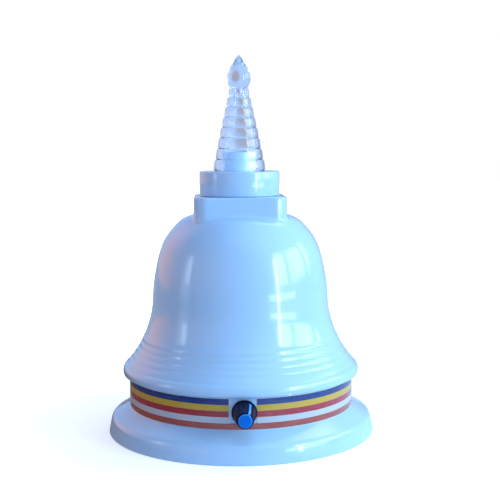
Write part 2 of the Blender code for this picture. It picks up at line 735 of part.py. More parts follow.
def make_knob_body(axis):
    """Tapered grip with shallow flutes, a smooth skirt, a recess for the nut and a blind bore."""
    outline = [
        (0, CAP_SEAT),
        (CAP_RADIUS + SEAT_GAP, CAP_SEAT),
        (CAP_RADIUS + SEAT_GAP, KNOB_FACE),
        (KNOB_FACE_RADIUS, KNOB_FACE),
        (KNOB_GRIP_FRONT_RADIUS, KNOB_GRIP_FRONT),
        (KNOB_GRIP_BACK_RADIUS, KNOB_SKIRT_END),
        (KNOB_SKIRT_RADIUS, KNOB_SKIRT_END),
        (KNOB_SKIRT_RADIUS, KNOB_BACK),
        (KNOB_RECESS_RADIUS, KNOB_BACK),
        (KNOB_RECESS_RADIUS, KNOB_RECESS_END),
        (KNOB_BORE_RADIUS, KNOB_RECESS_END),
        (KNOB_BORE_RADIUS, KNOB_BORE_END),
        (0, KNOB_BORE_END),
    ]
    facets = KNOB_FACETS_A_FLUTE * KNOB_FLUTES
    blank = turned("knob_blank", outline, facets, None)
    mesh = as_mesh(blank)
    bpy.data.objects.remove(blank)
    for vertex in mesh.vertices:
        radius = vertex.co.xy.length
        off_grip = min(abs(radius - KNOB_GRIP_FRONT_RADIUS), abs(radius - KNOB_GRIP_BACK_RADIUS))
        column = round(math.atan2(vertex.co.y, vertex.co.x) / (2 * math.pi) * facets)
        if off_grip < SAME_POINT and column % KNOB_FACETS_A_FLUTE:
            vertex.co.xy *= 1 - KNOB_FLUTE_DEPTH / radius
    mesh.shade_smooth()
    mesh.set_sharp_from_angle(angle=math.radians(30))
    add_object("knob_body", mesh, BLACK_PLASTIC, parent=axis)


def make_knob_cap(axis):
    """Cap let into the front of the knob, with a raised pointer that runs down the grip."""
    outline = [
        (0, CAP_TOP),
        (CAP_RADIUS - 2 * EDGE_ROUND, CAP_TOP - EDGE_ROUND / 4),
        (CAP_RADIUS, CAP_TOP - EDGE_ROUND),
        (CAP_RADIUS, CAP_SEAT + SEAT_GAP),
        (0, CAP_SEAT + SEAT_GAP),
    ]
    cap = turned("knob_cap", outline, SPIRE_FACETS, BLUE_PLASTIC, parent=axis)
    taper = (KNOB_GRIP_BACK_RADIUS - KNOB_GRIP_FRONT_RADIUS) / (KNOB_GRIP_FRONT - KNOB_SKIRT_END)
    grip_at_end = KNOB_GRIP_BACK_RADIUS - taper * (POINTER_END - KNOB_SKIRT_END)
    under_face = KNOB_FACE + SEAT_GAP
    side_view = [
        (POINTER_START_RADIUS, under_face),
        (KNOB_FACE_RADIUS + SEAT_GAP, under_face),
        (KNOB_GRIP_FRONT_RADIUS + SEAT_GAP, KNOB_GRIP_FRONT),
        (grip_at_end + SEAT_GAP, POINTER_END),
        (grip_at_end + SEAT_GAP + POINTER_RISE / 2, POINTER_END),
        (KNOB_GRIP_FRONT_RADIUS + SEAT_GAP + POINTER_RISE, KNOB_GRIP_FRONT),
        (KNOB_FACE_RADIUS + POINTER_RISE, under_face + POINTER_RISE / 2),
        (POINTER_START_RADIUS, under_face + POINTER_RISE / 2),
    ]
    curve = bpy.data.curves.new("pointer_outline", "CURVE")
    curve.dimensions = "2D"
    curve.fill_mode = "BOTH"
    curve.extrude = POINTER_WIDTH / 2
    spline = curve.splines.new("POLY")
    spline.points.add(len(side_view) - 1)
    for point, (radius, outward) in zip(spline.points, side_view):
        point.co = (radius, outward, 0, 1)
    spline.use_cyclic_u = True
    flat = bpy.data.objects.new("pointer_outline", curve)
    CUTTERS.objects.link(flat)
    mesh = as_mesh(flat)
    bpy.data.objects.remove(flat)
    angle = math.radians(POINTER_ANGLE_DEG)
    radial = Vector((math.sin(angle), math.cos(angle), 0))
    outward = Vector((0, 0, 1))
    across = radial.cross(outward)
    matrix = Matrix((radial, outward, across)).transposed().to_4x4()
    pointer = add_object("pointer", mesh, None, parent=axis, matrix=matrix)
    combine(cap, pointer, "UNION")


def main():
    axis = knob_frame()
    make_base_shell(axis)
    make_base_plate()
    make_base_screws()
    make_cord_inlet()
    make_bell()
    make_square_block()
    make_round_block()
    make_spire()
    make_finial()
    make_tape()
    make_control(axis)
    make_knob_body(axis)
    make_knob_cap(axis)


main()
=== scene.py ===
"""Looks of the table-top stupa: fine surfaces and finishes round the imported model, camera and light.

Units are metres, in the model's own frame: +Z up, the knob on the -Y side.
"""

import math

import bmesh
import bpy
from mathutils import Matrix, Vector


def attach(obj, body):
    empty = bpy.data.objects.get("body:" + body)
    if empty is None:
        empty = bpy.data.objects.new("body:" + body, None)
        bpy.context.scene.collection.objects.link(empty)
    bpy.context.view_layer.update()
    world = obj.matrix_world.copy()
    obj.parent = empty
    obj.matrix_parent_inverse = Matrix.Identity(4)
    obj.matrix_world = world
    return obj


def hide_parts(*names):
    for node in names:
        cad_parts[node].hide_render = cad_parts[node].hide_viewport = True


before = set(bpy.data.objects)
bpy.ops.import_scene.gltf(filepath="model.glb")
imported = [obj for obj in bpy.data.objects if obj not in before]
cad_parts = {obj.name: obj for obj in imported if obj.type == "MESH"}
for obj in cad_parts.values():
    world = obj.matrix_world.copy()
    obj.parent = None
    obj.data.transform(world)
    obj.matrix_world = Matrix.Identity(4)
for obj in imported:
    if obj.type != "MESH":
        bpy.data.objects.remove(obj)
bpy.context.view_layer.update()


# Camera: where the photograph was taken from, a little above the middle of the model, slightly to
# the left of the knob, and held almost level.
CAMERA_DISTANCE = 0.640
CAMERA_ASIDE = 0.0064
CAMERA_HEIGHT = 0.1812
CAMERA_BEARING_DEG = -2.0
CAMERA_DOWN_DEG = 5.62
CAMERA_TILT_DEG = -0.35
CAMERA_LENS_MM = 72.36
CAMERA_CLIP_NEAR = 0.01
CAMERA_CLIP_FAR = 50.0

camera_data = bpy.data.cameras.new("camera")
camera_data.lens = CAMERA_LENS_MM
camera_data.clip_start = CAMERA_CLIP_NEAR
camera_data.clip_end = CAMERA_CLIP_FAR
camera = bpy.data.objects.new("camera", camera_data)
bpy.context.scene.collection.objects.link(camera)
camera.matrix_world = (
    Matrix.Rotation(math.radians(CAMERA_BEARING_DEG), 4, "Z")
    @ Matrix.Translation((CAMERA_ASIDE, -CAMERA_DISTANCE, CAMERA_HEIGHT))
    @ Matrix.Rotation(math.radians(90 - CAMERA_DOWN_DEG), 4, "X")
    @ Matrix.Rotation(math.radians(CAMERA_TILT_DEG), 4, "Z")
)
bpy.context.scene.camera = camera


# Base moulding: the low foot with its upright rim, and the drum above it, in one shot of glossy
# opal plastic. It stands on the rim, and the bell sits on its ledge.
FOOT_RADIUS = 0.0850
RIM_TOP_RADIUS = 0.0829
RIM_HEIGHT = 0.0106
DRUM_RADIUS = 0.0712
DRUM_BASE_HEIGHT = 0.0172
DRUM_TOP_HEIGHT = 0.0388
LEDGE_INNER_RADIUS = 0.0600
SHELL_WALL = 0.0025
FOOT_INNER_RADIUS = 0.0824
PLATE_TOP_HEIGHT = 0.0027
RIM_ROUND = 0.0026
RIM_ROUND_STEPS = 8
SHELL_EDGE_ROUND = 0.0006
SHELL_STEPS = 192
EASED_EDGE_STEPS = 3
CREASE_DEG = 35
SAME_PLACE = 0.000001
OPAL_DEEP = (0.430, 0.635, 0.905, 1)
OPAL_PALE = (0.490, 0.695, 0.960, 1)


class Wire:
    """A socket of a node tree, on which arithmetic adds the nodes that work it out."""

    def __init__(self, tree, socket):
        self.tree = tree
        self.socket = socket

    def node(self, kind, settings, sockets, output=0):
        """Adds a node, sets it, fills its sockets with values or wires, and gives one output."""
        made = self.tree.nodes.new(kind)
        for name, value in settings.items():
            setattr(made, name, value)
        for name, value in sockets.items():
            if isinstance(value, Wire):
                self.tree.links.new(value.socket, made.inputs[name])
            else:
                made.inputs[name].default_value = value
        return Wire(self.tree, made.outputs[output]) if made.outputs else None

    def maths(self, operation, first, second):
        return self.node("ShaderNodeMath", {"operation": operation}, {0: first, 1: second})

    def __add__(self, other):
        return self.maths("ADD", self, other)

    def __sub__(self, other):
        return self.maths("SUBTRACT", self, other)

    def __rsub__(self, other):
        return self.maths("SUBTRACT", other, self)

    def __mul__(self, other):
        return self.maths("MULTIPLY", self, other)

    __radd__ = __add__
    __rmul__ = __mul__

    def stretched(self, scale):
        return self.node("ShaderNodeMapping", {}, {"Vector": self, "Scale": scale})

    def noise(self, scale, detail=2.0):
        """Cloudy values round 0.5, as many to the metre as the scale says."""
        return self.node("ShaderNodeTexNoise", {}, {"Vector": self, "Scale": scale, "Detail": detail})

    def between(self, low, high):
        """0 below the first value and 1 above the second, with a soft step between."""
        sockets = {"Value": self, "From Min": low, "From Max": high}
        return self.node("ShaderNodeMapRange", {"interpolation_type": "SMOOTHSTEP"}, sockets)

    def mixed(self, first, second):
        """The first colour where this is 0, and the second where it is 1."""
        first_input, second_input, colour_output = 6, 7, 2
        sockets = {"Factor": self, first_input: first, second_input: second}
        return self.node("ShaderNodeMix", {"data_type": "RGBA"}, sockets, colour_output)

    def bump(self, distance):
        """Normals of a surface that stands out by this wire's value times the distance."""
        return self.node("ShaderNodeBump", {}, {"Height": self, "Distance": distance, "Strength": 1.0})


def new_finish(name, constants):
    """A material whose shader holds these constants, and its Object coordinates."""
    material = bpy.data.materials.new(name)
    material.use_nodes = True
    tree = material.node_tree
    shader = tree.nodes["Principled BSDF"]
    for socket, value in constants.items():
        shader.inputs[socket].default_value = value
    return material, Wire(tree, tree.nodes.new("ShaderNodeTexCoord").outputs["Object"])


def vary(material, wires):
    """Lets these wires feed the shader's sockets."""
    shader = material.node_tree.nodes["Principled BSDF"]
    for socket, wire in wires.items():
        material.node_tree.links.new(wire.socket, shader.inputs[socket])


def opal_plastic():
    """Glossy moulding: slow clouds in the wall, a dull bloom of handling and a very fine grain."""
    constants = {"IOR": 1.5, "Coat Weight": 0.6, "Coat Roughness": 0.03}
    material, place = new_finish("opal_plastic", constants)
    clouds = place.noise(scale=14.0, detail=1.0)
    flow = place.stretched((1.0, 1.0, 0.25)).noise(scale=60.0, detail=1.0)
    grain = place.noise(scale=1500.0)
    bloom = place.noise(scale=30.0)
    vary(
        material,
        {
            "Base Color": (clouds * 0.7 + flow * 0.3).mixed(OPAL_DEEP, OPAL_PALE),
            "Roughness": 0.16 + bloom * 0.06 + grain * 0.04,
            "Normal": (flow * 0.5 + grain * 0.05).bump(0.00003),
        },
    )
    return material


def turned(outline, steps, closed=True):
    """The (radius, height) outline turned round Z. One that isn't closed has its ends on the axis."""
    bm = bmesh.new()
    points = [bm.verts.new((radius, 0, height)) for radius, height in outline]
    ends = points[1:] + points[:1] if closed else points[1:]
    edges = [bm.edges.new(pair) for pair in zip(points, ends)]
    bmesh.ops.spin(
        bm,
        geom=points + edges,
        axis=(0, 0, 1),
        cent=(0, 0, 0),
        angle=2 * math.pi,
        steps=steps,
        use_merge=True,
    )
    bmesh.ops.remove_doubles(bm, verts=bm.verts, dist=SAME_PLACE)
    bmesh.ops.recalc_face_normals(bm, faces=bm.faces)
    return bm


def ease_edges(bm, width, least_deg=25):
    """Rounds every edge that turns by more than the least angle."""
    least = math.radians(least_deg)
    sharp = [edge for edge in bm.edges if edge.is_manifold and edge.calc_face_angle() > least]
    bmesh.ops.bevel(
        bm,
        geom=sharp,
        offset=width,
        segments=EASED_EDGE_STEPS,
        profile=0.5,
        affect="EDGES",
        material=-1,
        clamp_overlap=True,
    )


def as_object(name, bm):
    """The shape as an object in the scene, in place of its bmesh."""
    mesh = bpy.data.meshes.new(name)
    bm.to_mesh(mesh)
    bm.free()
    made = bpy.data.objects.new(name, mesh)
    bpy.context.scene.collection.objects.link(made)
    return made


def add_piece(name, bm, material, replaced, body="root"):
    """A piece that stands for these nodes, rides on the body and has the material."""
    piece = as_object(name, bm)
    piece.data.materials.append(material)
    piece.data.shade_smooth()
    piece.data.set_sharp_from_angle(angle=math.radians(CREASE_DEG))
    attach(piece, body)
    if replaced:
        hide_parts(*replaced)
    return piece


def bent(before, corner, after, width, count):
    """Points that round a corner of an outline, from this width before it to this width after."""
    corner = Vector(corner)
    start = corner + (Vector(before) - corner).normalized() * width
    end = corner + (Vector(after) - corner).normalized() * width
    shares = [step / count for step in range(count + 1)]
    return [tuple(start * (1 - t) ** 2 + corner * 2 * t * (1 - t) + end * t**2) for t in shares]


OPAL = opal_plastic()

drum_foot = (DRUM_RADIUS, DRUM_BASE_HEIGHT)
rim_edge = (RIM_TOP_RADIUS, RIM_HEIGHT)
base_outline = [
    (LEDGE_INNER_RADIUS, DRUM_TOP_HEIGHT),
    (DRUM_RADIUS, DRUM_TOP_HEIGHT),
    drum_foot,
    *bent(drum_foot, rim_edge, (FOOT_RADIUS, 0), RIM_ROUND, RIM_ROUND_STEPS),
    (FOOT_RADIUS, 0),
    (FOOT_INNER_RADIUS, 0),
    (FOOT_INNER_RADIUS, PLATE_TOP_HEIGHT),
    (RIM_TOP_RADIUS - SHELL_WALL, RIM_HEIGHT - SHELL_WALL),
    (DRUM_RADIUS - SHELL_WALL, DRUM_BASE_HEIGHT - SHELL_WALL / 2),
    (DRUM_RADIUS - SHELL_WALL, DRUM_TOP_HEIGHT - SHELL_WALL),
    (LEDGE_INNER_RADIUS, DRUM_TOP_HEIGHT - SHELL_WALL),
]
base = turned(base_outline, SHELL_STEPS)
ease_edges(base, SHELL_EDGE_ROUND)
add_piece("base_moulding", base, OPAL, ["base_shell"])


# Bell: the dome in one moulding, with five shallow rings round its flare and a thick rolled lip
# that hangs over the top of the drum.
BELL_CURVE = (
    (0.0295, 0.1380),
    (0.0362, 0.1354),
    (0.0412, 0.1312),
    (0.0470, 0.1239),
    (0.0507, 0.1160),
    (0.0536, 0.1046),
    (0.0555, 0.0930),
    (0.0564, 0.0805),
    (0.0579, 0.0725),
    (0.0613, 0.0622),
    (0.0650, 0.0545),
    (0.0702, 0.0470),
    (0.0728, 0.0440),
)
BELL_CURVE_STEPS = 8
BELL_OPENING_RADIUS = 0.0200
RING_COUNT = 5
RINGS_TOP_HEIGHT = 0.0620
RINGS_BOTTOM_HEIGHT = 0.0442
RING_BULGE = 0.00040
RING_POINTS = 10
LIP_CENTRE = (0.0716, 0.0394)
LIP_RADII = (0.0039, 0.0047)
LIP_ARC_DEG = (68, -24)
LIP_POINTS = 14
LIP_INNER_RADIUS = 0.0721
BELL_SEAT_RADIUS = 0.0692
BELL_SEAT_HEIGHT = 0.0391
BELL_SEAT_TOP = 0.0430


def smooth_curve(knots, steps):
    """A curve through all the knots, with the given steps between each two."""
    knots = [Vector(knot) for knot in knots]
    ends = [2 * knots[0] - knots[1], *knots, 2 * knots[-1] - knots[-2]]
    points = []
    for before, start, end, after in zip(ends, ends[1:], ends[2:], ends[3:]):
        for step in range(steps):
            t = step / steps
            bend = 2 * before - 5 * start + 4 * end - after
            twist = 3 * start - before - 3 * end + after
            point = start + 0.5 * (t * (end - before) + t * t * bend + t * t * t * twist)
            points.append((point.x, point.y))
    points.append((knots[-1].x, knots[-1].y))
    return points


def at_height(points, height):
    """The radius of a falling curve at one height."""
    for (upper_radius, upper), (lower_radius, lower) in zip(points, points[1:]):
        if upper >= height >= lower:
            share = (upper - height) / (upper - lower)
            return upper_radius + (lower_radius - upper_radius) * share
    raise ValueError("height is off the curve")


def arc(centre, radii, start_deg, end_deg, count):
    """Points along part of an ellipse, both ends included."""
    angles = [math.radians(start_deg + (end_deg - start_deg) * i / (count - 1)) for i in range(count)]
    return [(centre[0] + radii[0] * math.cos(a), centre[1] + radii[1] * math.sin(a)) for a in angles]


bell_side = smooth_curve(BELL_CURVE, BELL_CURVE_STEPS)
ring_pitch = (RINGS_TOP_HEIGHT - RINGS_BOTTOM_HEIGHT) / RING_COUNT
ring_points = []
for step in range(RING_COUNT * RING_POINTS + 1):
    height = RINGS_TOP_HEIGHT - ring_pitch * step / RING_POINTS
    swell = abs(math.sin(math.pi * step / RING_POINTS))
    ring_points.append((at_height(bell_side, height) + RING_BULGE * swell, height))
lip = arc(LIP_CENTRE, LIP_RADII, *LIP_ARC_DEG, LIP_POINTS)
bell_inside = [(radius - SHELL_WALL, height) for radius, height in reversed(BELL_CURVE[1:-1])]
bell_outline = [
    (BELL_OPENING_RADIUS, BELL_CURVE[0][1]),
    *[point for point in bell_side if point[1] > RINGS_TOP_HEIGHT + RING_BULGE],
    *ring_points,
    *lip,
    (LIP_INNER_RADIUS, lip[-1][1]),
    (LIP_INNER_RADIUS, BELL_SEAT_HEIGHT),
    (BELL_SEAT_RADIUS, BELL_SEAT_HEIGHT),
    (BELL_SEAT_RADIUS, BELL_SEAT_TOP),
    *bell_inside,
    (BELL_OPENING_RADIUS, BELL_CURVE[0][1] - SHELL_WALL),
]
add_piece("bell", turned(bell_outline, SHELL_STEPS), OPAL, ["bell_dome"])


# Square block: a box with well rounded upright corners, moulded to sit on the shoulder of the bell
# and run out on to it in a small fillet.
SQUARE_HALF_WIDTH = 0.0289
SQUARE_CORNER_RADIUS = 0.0086
SQUARE_TOP_HEIGHT = 0.1496
SQUARE_WALL = 0.0024
SQUARE_EDGE_ROUND = 0.0008
SQUARE_FILLET = 0.0022
FILLET_STEPS = 6
FILLET_SINK = 0.0001
SQUARE_CORNER_STEPS = 14
SQUARE_SIDE_CUTS = 15
SQUARE_EDGE_STEPS = 4
SQUARE_EDGE_LEAST_DEG = 60
FACING_DOWN = -0.5


def at_radius(points, radius):
    """The height of a spreading curve at one radius, level inside its first point."""
    if radius <= points[0][0]:
        return points[0][1]
    for (inner, upper), (outer, lower) in zip(points, points[1:]):
        if inner <= radius <= outer:
            share = (radius - inner) / (outer - inner)
            return upper + (lower - upper) * share
    raise ValueError("radius is off the curve")


def on_shoulder(point, out, rise):
    """The point of the block's outline moved straight out and set this far above the shoulder."""
    flat = SQUARE_HALF_WIDTH - SQUARE_CORNER_RADIUS
    past_flat = [math.copysign(max(abs(value) - flat, 0), value) for value in point.xy]
    moved = point.xy + Vector(past_flat).normalized() * out
    return (moved.x, moved.y, at_radius(bell_side, moved.length) + rise)


def grow_down(bm, rim, depth):
    """Extrudes the open rim straight down, and gives the new rim."""
    grown = bmesh.ops.extrude_edge_only(bm, edges=rim)["geom"]
    points = [item for item in grown if isinstance(item, bmesh.types.BMVert)]
    bmesh.ops.translate(bm, vec=(0, 0, -depth), verts=points)
    return [item for item in grown if isinstance(item, bmesh.types.BMEdge)]


square = bmesh.new()
bmesh.ops.create_cube(square, size=1)
square_size = (2 * SQUARE_HALF_WIDTH, 2 * SQUARE_HALF_WIDTH, SQUARE_WALL)
bmesh.ops.scale(square, vec=square_size, verts=square.verts)
bmesh.ops.translate(square, vec=(0, 0, SQUARE_TOP_HEIGHT - SQUARE_WALL / 2), verts=square.verts)
uprights = [edge for edge in square.edges if edge.calc_length() < 2 * SQUARE_WALL]
bmesh.ops.bevel(
    square,
    geom=uprights,
    offset=SQUARE_CORNER_RADIUS,
    segments=SQUARE_CORNER_STEPS,
    profile=0.5,
    affect="EDGES",
    material=-1,
)
sides = [edge for edge in square.edges if edge.calc_length() > SQUARE_HALF_WIDTH]
bmesh.ops.subdivide_edges(square, edges=sides, cuts=SQUARE_SIDE_CUTS)
underside = [face for face in square.faces if face.normal.z < FACING_DOWN]
bmesh.ops.delete(square, geom=underside, context="FACES_ONLY")
rim = [edge for edge in square.edges if edge.is_boundary]
rim_height = SQUARE_TOP_HEIGHT - SQUARE_WALL
turns = [math.radians(90) * step / FILLET_STEPS for step in range(FILLET_STEPS + 1)]
fillet = [(1 - math.cos(turn), 1 - math.sin(turn)) for turn in turns]
foot = [(SQUARE_FILLET * out, SQUARE_FILLET * rise - FILLET_SINK) for out, rise in fillet]
foot.append((-SQUARE_WALL, FILLET_SINK))
# The open rim grows down by a level for each point of the fillet, and one for the inside of the wall.
# The levels are then set on the shoulder, and a last rim rises inside to close the block.
for _ in foot:
    rim = grow_down(square, rim, SQUARE_WALL)
for vert in square.verts:
    level = round((rim_height - vert.co.z) / SQUARE_WALL) - 1
    if level >= 0:
        vert.co = on_shoulder(vert.co, *foot[level])
rim = grow_down(square, rim, 0)
for vert in {vert for edge in rim for vert in edge.verts}:
    vert.co.z = rim_height
bmesh.ops.contextual_create(square, geom=rim)
bmesh.ops.recalc_face_normals(square, faces=square.faces)
least = math.radians(SQUARE_EDGE_LEAST_DEG)
sharp = [edge for edge in square.edges if edge.calc_face_angle() > least]
crown = [edge for edge in sharp if edge.verts[0].co.z > SQUARE_TOP_HEIGHT - SAME_PLACE]
bmesh.ops.bevel(
    square,
    geom=crown,
    offset=SQUARE_EDGE_ROUND,
    segments=SQUARE_EDGE_STEPS,
    profile=0.5,
    affect="EDGES",
    material=-1,
)
add_piece("square_moulding", square, OPAL, ["square_block"])


# Round block: a flat-topped cap with a hollow stub in the middle, over which the clear spire is
# pushed. The stub shows through the two lowest rings of the spire.
ROUND_RADIUS = 0.0253
ROUND_BOTTOM_HEIGHT = 0.14965
ROUND_TOP_HEIGHT = 0.1651
ROUND_WALL = 0.0022
ROUND_BORE_RADIUS = 0.0230
STUB_RADIUS = 0.0106
STUB_TOP_HEIGHT = 0.1772
ROUND_EDGE_ROUND = 0.0007

round_outline = [
    (0, STUB_TOP_HEIGHT),
    (STUB_RADIUS, STUB_TOP_HEIGHT),
    (STUB_RADIUS, ROUND_TOP_HEIGHT),
    (ROUND_RADIUS, ROUND_TOP_HEIGHT),
    (ROUND_RADIUS, ROUND_BOTTOM_HEIGHT),
    (ROUND_BORE_RADIUS, ROUND_BOTTOM_HEIGHT),
    (ROUND_BORE_RADIUS, ROUND_TOP_HEIGHT - ROUND_WALL),
    (STUB_RADIUS - ROUND_WALL, ROUND_TOP_HEIGHT - ROUND_WALL),
    (STUB_RADIUS - ROUND_WALL, STUB_TOP_HEIGHT - ROUND_WALL),
    (0, STUB_TOP_HEIGHT - ROUND_WALL),
]
round_block = turned(round_outline, SHELL_STEPS, closed=False)
ease_edges(round_block, ROUND_EDGE_ROUND)
add_piece("round_moulding", round_block, OPAL, ["round_block"])


# Spire: eight rounded rings in one moulding of clear acrylic, hollow over the stub, with a socket
# in its tip for the peg of the drop.
SPIRE_RINGS = 8
SPIRE_BOTTOM_HEIGHT = 0.1654
SPIRE_LOWEST_RADIUS = 0.0164
SPIRE_HIGHEST_RADIUS = 0.0067
SPIRE_LOWEST_RING = 0.0070
SPIRE_RING_STEP = 0.00015
SPIRE_GROOVE = 0.0008
SPIRE_RING_LEAN = 0.10
SPIRE_NECK_RADIUS = 0.0051
SPIRE_BORE_LOW_RADIUS = 0.0136
SPIRE_BORE_HIGH_RADIUS = 0.0038
SPIRE_BORE_EDGE = 0.0004
SPIRE_SOCKET_RADIUS = 0.0029
SPIRE_SOCKET_DEPTH = 0.0040
SPIRE_RING_POINTS = 14
SPIRE_RING_FULLNESS = 4
SPIRE_STEPS = 128
CLEAR_TINT = (0.97, 0.985, 1.0, 1)


def clear_acrylic():
    """Clear moulding: faint waves and a little haze, as on a cheap clear shot."""
    constants = {"Base Color": CLEAR_TINT, "Transmission Weight": 1.0, "IOR": 1.49}
    material, place = new_finish("clear_acrylic", constants)
    waves = place.noise(scale=260.0)
    haze = place.noise(scale=900.0, detail=3.0).between(0.5, 0.8)
    vary(material, {"Roughness": 0.11 + haze * 0.12, "Normal": waves.bump(0.00008)})
    return material


CLEAR = clear_acrylic()

spire_side = []
ring_low = SPIRE_BOTTOM_HEIGHT
for index in range(SPIRE_RINGS):
    ring_height = SPIRE_LOWEST_RING - SPIRE_RING_STEP * index
    share = index / (SPIRE_RINGS - 1)
    ring_radius = SPIRE_LOWEST_RADIUS + (SPIRE_HIGHEST_RADIUS - SPIRE_LOWEST_RADIUS) * share
    ring_top = ring_low + ring_height
    ring = []
    for step in range(SPIRE_RING_POINTS):
        fall = (1 - math.cos(math.pi * step / SPIRE_RING_POINTS)) / 2
        lean = SPIRE_RING_LEAN * ring_height * (1 - fall)
        groove = SPIRE_GROOVE * (1 - math.sqrt(1 - (2 * fall - 1) ** SPIRE_RING_FULLNESS))
        ring.append((ring_radius - lean - groove, ring_top - ring_height * fall))
    spire_side = ring + spire_side
    ring_low = ring_top
spire_top = ring_low
spire_outline = [
    (SPIRE_NECK_RADIUS, spire_top),
    *spire_side[1:],
    (SPIRE_LOWEST_RADIUS - SPIRE_GROOVE / 2, SPIRE_BOTTOM_HEIGHT),
    (SPIRE_BORE_LOW_RADIUS, SPIRE_BOTTOM_HEIGHT),
    (SPIRE_BORE_HIGH_RADIUS, spire_top - SPIRE_SOCKET_DEPTH - SPIRE_BORE_EDGE),
    (SPIRE_SOCKET_RADIUS, spire_top - SPIRE_SOCKET_DEPTH),
    (SPIRE_SOCKET_RADIUS, spire_top),
]
spire = turned(spire_outline, SPIRE_STEPS)
spire_piece = add_piece("clear_spire", spire, CLEAR, ["ringed_spire"])
spire_piece.visible_shadow = False


# Drop: a solid bead of the same clear acrylic with a conical tip. It stands on the neck of the spire,
# with its peg pushed into the socket there.
DROP_CURVE = (
    (0.0000, 0.2381),
    (0.0016, 0.2362),
    (0.0036, 0.2328),
    (0.0060, 0.2290),
    (0.0072, 0.2250),
    (0.0072, 0.2220),
    (0.0063, 0.2190),
)
DROP_CURVE_STEPS = 6
DROP_SEAT_RADIUS = 0.0052
DROP_SEAT_GAP = 0.0003
DROP_PEG_RADIUS = 0.0026
DROP_PEG_LENGTH = 0.0036

drop_seat = spire_top + DROP_SEAT_GAP
drop_side = smooth_curve([*DROP_CURVE, (DROP_SEAT_RADIUS, drop_seat)], DROP_CURVE_STEPS)
drop_outline = [
    *drop_side,
    (DROP_PEG_RADIUS, drop_seat),
    (DROP_PEG_RADIUS, drop_seat - DROP_PEG_LENGTH),
    (0, drop_seat - DROP_PEG_LENGTH),
]
drop = turned(drop_outline, SPIRE_STEPS, closed=False)
drop_piece = add_piece("clear_drop", drop, CLEAR, ["drop_finial"])
drop_piece.visible_shadow = False


# Flag tape: one glossy printed tape in five stripes on a white backing, wrapped round the drum. The
# upper four stripes are cut away for the knob. The lowest runs on below it, and its ends meet at the
# back.
TAPE_BACKING_RADIUS = 0.07125
TAPE_INNER_RADIUS = 0.0715
TAPE_THICKNESS = 0.00025
BACKING_THICKNESS = 0.0002
TAPE_TOP_HEIGHT = 0.0355
TAPE_PITCH = 0.0036
TAPE_MARGIN = 0.0004
TAPE_LEFT_OF_KNOB = 0.0090
TAPE_RIGHT_OF_KNOB = 0.0075
TAPE_SEAM = 0.0006
TAPE_STEPS = 240
STRIPES = {
    "blue": (0.012, 0.042, 0.205, 1),
    "yellow": (0.640, 0.385, 0.045, 1),
    "red": (0.420, 0.028, 0.048, 1),
    "white": (0.570, 0.570, 0.640, 1),
    "orange": (0.430, 0.072, 0.055, 1),
}
STRIPE_WEAR = 0.04
BACKING_WHITE = (0.78, 0.80, 0.84, 1)


def printed_film(name, ink):
    """Glossy printed film: ink laid a little unevenly in long streaks, and faint dimples."""
    material, place = new_finish(name, {"IOR": 1.48, "Coat Weight": 0.5, "Coat Roughness": 0.03})
    worn = tuple(channel + (1 - channel) * STRIPE_WEAR for channel in ink)
    streaks = place.stretched((1.0, 1.0, 6.0)).noise(scale=120.0, detail=4.0).between(0.35, 0.85)
    dimples = place.noise(scale=420.0)
    vary(
        material,
        {
            "Base Color": streaks.mixed(ink, worn),
            "Roughness": 0.18 + streaks * 0.12,
            "Normal": dimples.bump(0.00003),
        },
    )
    return material


def tape_band(radius, thickness, high, low, left, right):
    """An upright band round the drum, open from left to right of the front by these distances."""
    bm = bmesh.new()
    start = math.radians(-90) + right / radius
    side = (radius * math.cos(start), radius * math.sin(start))
    ends = [bm.verts.new((*side, height)) for height in (high, low)]
    edge = bm.edges.new(ends)
    turn = 2 * math.pi - (left + right) / radius
    bmesh.ops.spin(
        bm, geom=[*ends, edge], axis=(0, 0, 1), cent=(0, 0, 0), angle=turn, steps=TAPE_STEPS
    )
    bmesh.ops.recalc_face_normals(bm, faces=bm.faces)
    bmesh.ops.solidify(bm, geom=bm.faces, thickness=thickness)
    bmesh.ops.recalc_face_normals(bm, faces=bm.faces)
    return bm


stripe_names = list(STRIPES)
tape_bottom = TAPE_TOP_HEIGHT - TAPE_PITCH * len(STRIPES)
for index, (colour_name, ink) in enumerate(STRIPES.items()):
    high = TAPE_TOP_HEIGHT - TAPE_PITCH * index
    whole = colour_name == stripe_names[-1]
    gap = (TAPE_SEAM / 2, TAPE_SEAM / 2) if whole else (TAPE_LEFT_OF_KNOB, TAPE_RIGHT_OF_KNOB)
    stripe = tape_band(TAPE_INNER_RADIUS, TAPE_THICKNESS, high, high - TAPE_PITCH, *gap)
    if whole:
        bmesh.ops.rotate(stripe, matrix=Matrix.Rotation(math.pi, 3, "Z"), verts=stripe.verts)
    film = printed_film(f"{colour_name}_print", ink)
    add_piece(f"{colour_name}_stripe", stripe, film, [f"tape_{colour_name}"])

backing_film = printed_film("white_backing", BACKING_WHITE)
upper_gap = (TAPE_LEFT_OF_KNOB - TAPE_MARGIN, TAPE_RIGHT_OF_KNOB - TAPE_MARGIN)
upper_low = tape_bottom + TAPE_PITCH
upper = tape_band(
    TAPE_BACKING_RADIUS, BACKING_THICKNESS, TAPE_TOP_HEIGHT + TAPE_MARGIN, upper_low, *upper_gap
)
add_piece("tape_backing", upper, backing_film, [])


